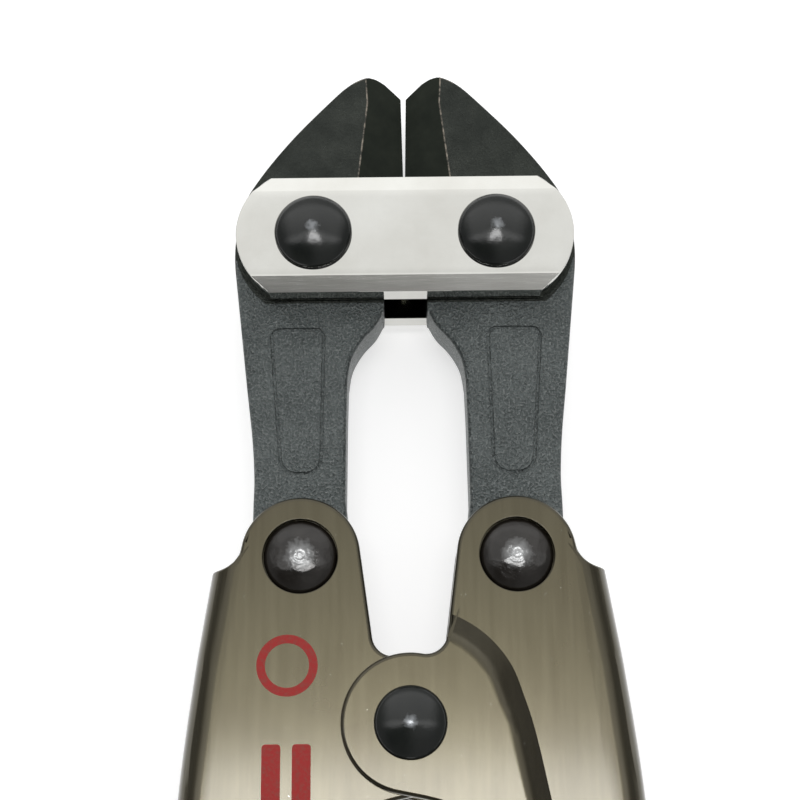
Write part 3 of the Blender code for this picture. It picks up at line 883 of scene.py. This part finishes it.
def latch(steel, rivet_mats):
    """Latch hook with its washers and rivet, and the catch pin that it hooks."""
    half = 1.0
    play = 0.05
    obj = work(prism(latch_outline(), -half, half))
    hole(obj, (0, 0), PIN_SHANK + GAP)
    tidy(obj)
    soften(obj, 0.18, 2, 30)
    obj.data.transform(Matrix.Translation((*LATCH_PIN, 0))
                       @ Matrix.Rotation(math.radians(LATCH_STOW), 4, "Z"))
    place(obj, "latch_hook", "latch", ["latch"], steel)
    for name, z0, z1 in (("front", half + GAP, RAISED_IN - play), ("rear", -SHEET_IN + play, -half - GAP)):
        obj = work(tube(LATCH_PIN, PIN_SHANK + GAP, 3.0, z0, z1, 0.15))
        smooth(obj)
        place(obj, "latch_washer_" + name, "handle_right", ["latch_spacer_" + name], steel)
    profile = rivet_profile(PIN_SHANK, PIN_HEAD_R, PIN_HEAD_H + GAP, -SHEET_OUT, RAISED_OUT)
    obj = work(turned(profile, LATCH_PIN, 64))
    mark_axis(obj, LATCH_PIN)
    smooth(obj, 50)
    place(obj, "latch_rivet_head", "handle_right", ["latch_rivet"], rivet_mats)
    middle = half + 0.7
    shoulder = 2.8
    profile = (list(reversed(cap(PIN_HEAD_R, PIN_HEAD_H + GAP, -RAISED_OUT, -1)))
               + [(PIN_SHANK, -RAISED_OUT), (PIN_SHANK, -RAISED_IN + play), (shoulder, -RAISED_IN + play),
                  (shoulder, -middle), (PIN_SHANK, -middle), (PIN_SHANK, middle), (shoulder, middle),
                  (shoulder, SHEET_IN - play), (PIN_SHANK, SHEET_IN - play), (PIN_SHANK, SHEET_OUT)]
               + cap(PIN_HEAD_R, PIN_HEAD_H + GAP, SHEET_OUT, 1))
    obj = work(turned(profile, (-LATCH_PIN[0], LATCH_PIN[1]), 64))
    mark_axis(obj, (-LATCH_PIN[0], LATCH_PIN[1]))
    smooth(obj, 40)
    place(obj, "catch_pin_turned", "handle_left", ["latch_catch_pin"], rivet_mats)


# ---------------------------------------------------------------- materials

class Nodes:
    """Small helper that wires one material's nodes."""

    def __init__(self, name):
        self.mat = bpy.data.materials.new(name)
        self.mat.use_nodes = True
        self.tree = self.mat.node_tree
        self.shader = self.tree.nodes["Principled BSDF"]
        self.coord = self.tree.nodes.new("ShaderNodeTexCoord").outputs["Object"]

    def node(self, kind, links=None, **values):
        """Add a node; values set inputs by name with underscores for spaces, links join sockets."""
        n = self.tree.nodes.new(kind)
        for key, value in values.items():
            n.inputs[key.replace("_", " ")].default_value = value
        for key, socket in (links or {}).items():
            self.tree.links.new(socket, n.inputs[key])
        return n

    def noise(self, scale, detail=4.0, rough=0.55, stretch=None):
        """Noise with features about 1/scale metres wide."""
        coord = self.coord
        if stretch:
            mapping = self.node("ShaderNodeMapping", {"Vector": coord})
            mapping.inputs["Scale"].default_value = stretch
            coord = mapping.outputs["Vector"]
        return self.node("ShaderNodeTexNoise", {"Vector": coord}, Scale=scale, Detail=detail,
                         Roughness=rough).outputs["Fac"]

    def attribute(self, name):
        """A number stored on the mesh's points."""
        n = self.tree.nodes.new("ShaderNodeAttribute")
        n.attribute_name = name
        return n.outputs["Fac"]

    def ramp(self, fac, *stops):
        """Blend through (position, value or colour) stops."""
        n = self.node("ShaderNodeValToRGB", {"Fac": fac})
        ramp = n.color_ramp
        while len(ramp.elements) < len(stops):
            ramp.elements.new(0.5)
        for element, (at, color) in zip(ramp.elements, stops):
            element.position = at
            element.color = (*color, 1.0) if hasattr(color, "__len__") else (color, color, color, 1.0)
        return n.outputs["Color"]

    def scaled(self, fac, low, high, start=0.0, stop=1.0):
        """Map a value from start..stop to low..high."""
        n = self.tree.nodes.new("ShaderNodeMapRange")
        self.tree.links.new(fac, n.inputs["Value"])
        n.inputs["From Min"].default_value = start
        n.inputs["From Max"].default_value = stop
        n.inputs["To Min"].default_value = low
        n.inputs["To Max"].default_value = high
        return n.outputs["Result"]

    def mix(self, fac, a, b):
        """Colour a where fac is 0 and colour b where it is 1; the slots 6 and 7 are the colour ones."""
        n = self.tree.nodes.new("ShaderNodeMix")
        n.data_type = "RGBA"
        self.put(n.inputs["Factor"], fac)
        self.put(n.inputs[6], a)
        self.put(n.inputs[7], b)
        return n.outputs[2]

    def put(self, socket, value):
        """Link a socket to another one, or give it a number or a colour."""
        if isinstance(value, bpy.types.NodeSocket):
            self.tree.links.new(value, socket)
        elif hasattr(value, "__len__"):
            socket.default_value = (*value, 1.0) if len(value) == 3 else value
        else:
            socket.default_value = value

    def math(self, operation, a, b=0.0):
        """One arithmetic step."""
        n = self.tree.nodes.new("ShaderNodeMath")
        n.operation = operation
        self.put(n.inputs[0], a)
        self.put(n.inputs[1], b)
        return n.outputs[0]

    def bump(self, height, distance, strength=1.0):
        """Normal bent by a height, over a distance in metres."""
        n = self.node("ShaderNodeBump", {"Height": height}, Strength=strength, Distance=distance)
        return n.outputs["Normal"]

    def finish(self, color, roughness, metallic, normal, **constants):
        """Connect the shader, and set the values that are the same all over."""
        self.put(self.shader.inputs["Base Color"], color)
        self.put(self.shader.inputs["Roughness"], roughness)
        self.put(self.shader.inputs["Metallic"], metallic)
        self.tree.links.new(normal, self.shader.inputs["Normal"])
        for key, value in constants.items():
            self.shader.inputs[key.replace("_", " ")].default_value = value
        return self.mat


def forged_black():
    """Black oxide over a rough forging; the bright specks in its colour are partly its grain and partly
    painted glints.
    """
    n = Nodes("blade_forged_black")
    grain = n.noise(2800, 2.0, 0.55)
    broad = n.noise(160, 4.0, 0.55)
    tone = n.ramp(broad, (0.3, (0.078, 0.089, 0.088)), (0.7, (0.112, 0.126, 0.124)))
    # Bright specks from the grain noise: partly the forging's grain, partly painted glints.
    color = n.mix(n.scaled(grain, 0.0, 0.7, 0.48, 0.74), tone, (0.24, 0.255, 0.25))
    rough = n.scaled(grain, 0.46, 0.3)
    normal = n.bump(grain, 0.00045, 0.9)
    return n.finish(color, rough, 0.85, normal)


def machined_black():
    """Black oxide over the machined seat and jaw faces."""
    n = Nodes("blade_machined_black")
    grain = n.noise(2400, 3.0, 0.6)
    broad = n.noise(220, 4.0, 0.6)
    color = n.ramp(broad, (0.3, (0.020, 0.023, 0.020)), (0.72, (0.034, 0.038, 0.033)))
    rough = n.scaled(broad, 0.4, 0.3)
    normal = n.bump(grain, 0.0003, 0.8)
    return n.finish(color, rough, 0.85, normal)


def ground_black():
    """Ground cutting flanks: smoother, with faint grinding lines across the edge."""
    n = Nodes("blade_ground_black")
    lines = n.noise(900, 3.0, 0.55, (0.35, 6.0, 0.35))
    broad = n.noise(300, 3.0, 0.6)
    color = n.ramp(broad, (0.3, (0.018, 0.022, 0.017)), (0.75, (0.028, 0.033, 0.025)))
    rough = n.scaled(lines, 0.42, 0.34)
    normal = n.bump(lines, 0.00001, 0.5)
    return n.finish(color, rough, 0.85, normal)


def rubbed_edge():
    """Ridge lines where handling has rubbed the oxide thin."""
    n = Nodes("blade_rubbed_edge")
    wear = n.noise(1200, 4.0, 0.6)
    color = n.ramp(wear, (0.4, (0.05, 0.05, 0.044)), (0.62, (0.26, 0.23, 0.19)))
    return n.finish(color, n.scaled(wear, 0.44, 0.3), 0.9, n.bump(wear, 0.00003, 0.5))


def chrome():
    """Bright plated steel with faint wipe marks."""
    n = Nodes("plate_chrome")
    wipe = n.noise(500, 3.0, 0.6, (0.25, 2.5, 1.0))
    smudge = n.noise(90, 4.0, 0.6)
    color = n.ramp(smudge, (0.3, (0.62, 0.615, 0.575)), (0.75, (0.70, 0.70, 0.665)))
    rough = n.scaled(smudge, 0.05, 0.06)
    normal = n.bump(wipe, 0.00001, 0.35)
    return n.finish(color, rough, 1.0, normal)


def bronze():
    """Olive bronze plating under a clear lacquer, brushed along the handle, with small scuffs."""
    n = Nodes("handle_bronze")
    brushed = n.noise(900, 3.0, 0.6, (1.0, 0.05, 1.0))
    broad = n.noise(60, 4.0, 0.6)
    tone = n.ramp(broad, (0.3, (0.047, 0.039, 0.019)), (0.72, (0.058, 0.05, 0.026)))
    tone = n.mix(n.scaled(brushed, 0.0, 0.35, 0.35, 0.7), tone, (0.084, 0.074, 0.044))
    scuff = n.ramp(n.noise(1100, 4.0, 0.7), (0.70, 0.0), (0.76, 1.0))
    color = n.mix(scuff, tone, (0.3, 0.3, 0.27))
    rough = n.scaled(broad, 0.3, 0.22)
    normal = n.bump(brushed, 0.00002, 0.5)
    return n.finish(color, rough, 0.95, normal, Coat_Weight=0.8, Coat_Roughness=0.12)


def red_print():
    """Worn red pad printing."""
    n = Nodes("red_print")
    wear = n.noise(1500, 4.0, 0.7)
    color = n.ramp(wear, (0.45, (0.33, 0.018, 0.016)), (0.8, (0.2, 0.06, 0.045)))
    return n.finish(color, n.scaled(wear, 0.5, 0.65), 0.0, n.bump(wear, 0.00002, 0.5),
                    Specular_IOR_Level=0.25)


def rivet_black():
    """Glossy black heads whose bright crown is partly rubbed bare metal and partly a painted highlight."""
    n = Nodes("rivet_black")
    radius = n.attribute("from_axis")
    broad = n.noise(250, 4.0, 0.6)
    speck = n.noise(1500, 4.0, 0.65)
    dark = n.ramp(broad, (0.3, (0.005, 0.0065, 0.006)), (0.75, (0.011, 0.013, 0.011)))
    # Crown mask: lightens the middle of each head, partly rubbed bare metal and partly a painted
    # highlight.
    ragged = n.math("ADD", radius, n.scaled(speck, -0.9, 0.9))
    crown_wear_and_highlight = n.scaled(ragged, 0.5, 0.0, 0.2, 1.1)
    color = n.mix(crown_wear_and_highlight, dark, (0.42, 0.44, 0.46))
    rough = n.mix(crown_wear_and_highlight, n.scaled(speck, 0.2, 0.1), (0.34, 0.34, 0.34))
    normal = n.bump(speck, 0.00003, 0.6)
    return n.finish(color, rough, crown_wear_and_highlight, normal, Specular_IOR_Level=0.5)


def rivet_peened():
    """Brown-black heads whose crown is peened and ringed by the riveting tool; its bright colour is partly
    bare peened metal and partly a painted highlight.
    """
    n = Nodes("rivet_peened")
    radius = n.attribute("from_axis")
    speck = n.noise(1300, 4.0, 0.65)
    broad = n.noise(420, 4.0, 0.6)
    dark = n.ramp(broad, (0.3, (0.009, 0.007, 0.005)), (0.72, (0.022, 0.019, 0.016)))
    # Crown mask: lightens the middle of each head, partly bare peened metal and partly a painted
    # highlight.
    ragged = n.math("ADD", radius, n.scaled(speck, -1.2, 1.2))
    crown_wear_and_highlight = n.scaled(ragged, 1.0, 0.0, 0.1, 2.4)
    color = n.mix(crown_wear_and_highlight, dark, (0.34, 0.345, 0.345))
    rough = n.mix(crown_wear_and_highlight, n.scaled(speck, 0.22, 0.12), (0.3, 0.3, 0.3))
    rings = n.math("SINE", n.math("MULTIPLY", radius, 9.0))
    height = n.math("ADD", n.math("MULTIPLY", n.math("MULTIPLY", rings, crown_wear_and_highlight), 0.3), speck)
    normal = n.bump(height, 0.00007, 0.8)
    return n.finish(color, rough, n.scaled(crown_wear_and_highlight, 0.25, 1.0), normal, Specular_IOR_Level=0.7)


def steel():
    """Bare drawn spring steel."""
    n = Nodes("spring_steel")
    lines = n.noise(1800, 3.0, 0.5)
    color = n.ramp(n.noise(200), (0.3, (0.36, 0.36, 0.37)), (0.72, (0.5, 0.5, 0.5)))
    rough = n.scaled(lines, 0.4, 0.26)
    normal = n.bump(lines, 0.00002, 0.6)
    return n.finish(color, rough, 1.0, normal)


def vinyl():
    """Dipped black plastic with a fine pebble."""
    n = Nodes("grip_vinyl")
    pebble = n.noise(2200, 3.0, 0.6)
    color = n.ramp(n.noise(120), (0.3, (0.016, 0.016, 0.017)), (0.75, (0.032, 0.032, 0.034)))
    rough = n.scaled(n.noise(300), 0.5, 0.68)
    normal = n.bump(pebble, 0.00007, 0.8)
    return n.finish(color, rough, 0.0, normal)


# ---------------------------------------------------------------- studio

LENS = 70.38                     # focal length in mm on a 36 mm sensor
CAMERA_AT = (-1.0, -17.72, 226.76)
CAMERA_TILT = 16.3
CAMERA_ROLL = 0.6


def camera():
    """Camera above the main pivot, leaning towards the jaws."""
    data = bpy.data.cameras.new("camera")
    data.sensor_width = 36.0
    data.lens = LENS
    data.clip_start = 0.01
    data.clip_end = 20.0
    obj = bpy.data.objects.new("camera", data)
    bpy.context.scene.collection.objects.link(obj)
    tilt = math.radians(CAMERA_TILT)
    roll = math.radians(CAMERA_ROLL)
    place_at = (ORIGIN + Vector(CAMERA_AT)) * MM
    obj.matrix_world = (Matrix.Translation(place_at)
                        @ Matrix.Rotation(tilt, 4, "X") @ Matrix.Rotation(-roll, 4, "Z"))
    bpy.context.scene.camera = obj


def floor():
    """Plain pale table, just under the tool."""
    s = 3.0
    mesh = bpy.data.meshes.new("floor")
    mesh.from_pydata([(-s, -s, -0.0002), (s, -s, -0.0002), (s, s, -0.0002), (-s, s, -0.0002)], [],
                     [(0, 1, 2, 3)])
    obj = bpy.data.objects.new("floor", mesh)
    bpy.context.scene.collection.objects.link(obj)
    mat = bpy.data.materials.new("floor")
    mat.use_nodes = True
    shader = mat.node_tree.nodes["Principled BSDF"]
    shader.inputs["Base Color"].default_value = (0.62, 0.62, 0.62, 1)
    shader.inputs["Roughness"].default_value = 0.9
    shader.inputs["Specular IOR Level"].default_value = 0.2
    shader.inputs["Emission Color"].default_value = (1, 1, 1, 1)
    shader.inputs["Emission Strength"].default_value = 0.6
    obj.data.materials.append(mat)


# (degrees from the zenith, south negative; brightness to the west; brightness to the east)
SKY = [(-90.0, 0.25, 0.35), (-30.0, 0.1, 0.35), (-10.0, 0.1, 0.5), (-1.0, 1.9, 2.0), (3.0, 1.8, 1.8),
       (7.0, 1.2, 1.2), (11.0, 0.95, 0.95), (35.0, 1.2, 1.15), (60.0, 1.4, 1.35), (72.0, 0.7, 0.6),
       (90.0, 0.5, 0.5)]
SKY_PEAK = 2.0
SIDES = 0.3


def sky_ramp(tree, share, column):
    """Brightness across the studio from one column of SKY, as a share of its peak."""
    ramp = tree.nodes.new("ShaderNodeValToRGB")
    while len(ramp.color_ramp.elements) < len(SKY):
        ramp.color_ramp.elements.new(0.5)
    for element, stop in zip(ramp.color_ramp.elements, SKY):
        level = stop[column] / SKY_PEAK
        element.position = (stop[0] + 90) / 180
        element.color = (level, level, level, 1)
    tree.links.new(share, ramp.inputs[0])
    return ramp.outputs[0]


def ranged(tree, value, start, stop):
    """Smooth step of a value from start to stop."""
    n = tree.nodes.new("ShaderNodeMapRange")
    n.interpolation_type = "SMOOTHSTEP"
    n.inputs["From Min"].default_value = start
    n.inputs["From Max"].default_value = stop
    tree.links.new(value, n.inputs["Value"])
    return n.outputs[0]


def blended(tree, factor, a, b):
    """Colour a turning into colour or level b with the factor."""
    n = tree.nodes.new("ShaderNodeMix")
    n.data_type = "RGBA"
    tree.links.new(factor, n.inputs[0])
    tree.links.new(a, n.inputs[6])
    if isinstance(b, bpy.types.NodeSocket):
        tree.links.new(b, n.inputs[7])
    else:
        n.inputs[7].default_value = (b, b, b, 1)
    return n.outputs[2]


def world():
    """Bright beyond the jaws, dark on the handles' side, dim at both sides."""
    w = bpy.data.worlds.new("studio")
    bpy.context.scene.world = w
    w.use_nodes = True
    tree = w.node_tree
    background = tree.nodes["Background"]
    coord = tree.nodes.new("ShaderNodeTexCoord")
    split = tree.nodes.new("ShaderNodeSeparateXYZ")
    tree.links.new(coord.outputs["Generated"], split.inputs[0])
    turn = tree.nodes.new("ShaderNodeMath")
    turn.operation = "ARCTAN2"
    tree.links.new(split.outputs["Y"], turn.inputs[0])
    tree.links.new(split.outputs["Z"], turn.inputs[1])
    share = tree.nodes.new("ShaderNodeMapRange")
    share.inputs["From Min"].default_value = -math.pi / 2
    share.inputs["From Max"].default_value = math.pi / 2
    tree.links.new(turn.outputs[0], share.inputs["Value"])
    east = ranged(tree, split.outputs["X"], -0.25, 0.25)
    level = blended(tree, east, sky_ramp(tree, share.outputs[0], 1), sky_ramp(tree, share.outputs[0], 2))
    across = tree.nodes.new("ShaderNodeMath")
    across.operation = "ABSOLUTE"
    tree.links.new(split.outputs["X"], across.inputs[0])
    aside = ranged(tree, across.outputs[0], 0.55, 0.9)
    tree.links.new(blended(tree, aside, level, SIDES / SKY_PEAK), background.inputs[0])
    background.inputs[1].default_value = SKY_PEAK


def key_light():
    """Long softbox overhead, lying across the tool."""
    data = bpy.data.lights.new("key", "AREA")
    data.shape = "RECTANGLE"
    data.size = 0.8
    data.size_y = 0.30
    data.energy = 8.5
    obj = bpy.data.objects.new("key", data)
    bpy.context.scene.collection.objects.link(obj)
    obj.location = (0, -0.04, 2.0)


def main():
    """Make every piece, then the studio."""
    plate = [chrome()]
    black = [rivet_black()]
    metal = [steel()]
    for side, name in ((1, "front"), (-1, "rear")):
        link_plate("link_plate_" + name + "_piece", side, plate)
    forged = [forged_black(), machined_black(), ground_black(), rubbed_edge()]
    brown = [rivet_peened()]
    channel = [bronze()]
    sleeve = [vinyl()]
    for side in (-1, 1):
        blade_rivet(side, black)
        blade(side, forged)
        arm_rivet(side, brown)
        handle(side, channel)
        grip(side, sleeve)
    printed_mark([red_print()])
    pivot_parts(black, metal)
    opening_spring(metal)
    latch(metal, black)
    camera()
    floor()
    world()
    key_light()
    bpy.context.scene.view_settings.view_transform = "Standard"


main()
